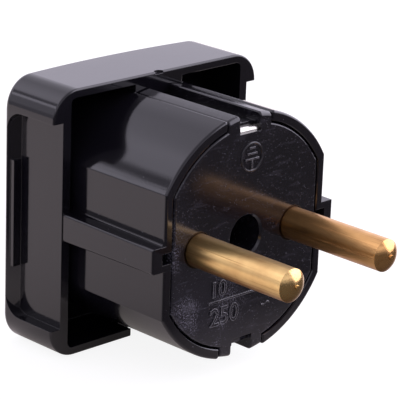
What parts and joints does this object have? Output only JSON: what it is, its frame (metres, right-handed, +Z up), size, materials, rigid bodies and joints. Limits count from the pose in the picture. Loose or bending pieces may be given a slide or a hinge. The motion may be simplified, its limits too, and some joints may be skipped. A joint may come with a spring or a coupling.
{
  "type": "travel adapter plug",
  "caption": "Compact black mains adapter: round two-pin plug body with brass pins and earth grooves, moulded in one with a square socket head for a flat three-pin plug.",
  "frame": {"origin": "midway between the two round pins, on the plug face", "axes": "+X across the pins, -Y the way the pins point, +Y towards the socket face, +Z up"},
  "size_m": [0.0402, 0.0501, 0.0402],
  "materials": {
    "gloss_black_plastic": "polished mould, deep gloss",
    "plate_black_plastic": "moulded gloss, rubbed by use, with fine specks",
    "pin_brass": "turned, drawn lengthwise scratches",
    "contact_brass": "rolled strip",
    "nickel_strip": "nickel plated strip",
    "plated_steel": "zinc plated"
  },
  "bodies": {
    "root": {"body_shell": "gloss_black_plastic", "pin_carrier": "plate_black_plastic", "pin_left": "pin_brass", "pin_right": "pin_brass", "contact_left": "contact_brass", "contact_right": "contact_brass", "earth_contact": "contact_brass", "earth_strap": "nickel_strip", "earth_rivet": "contact_brass", "centre_screw": "plated_steel"}
  },
  "joints": []
}
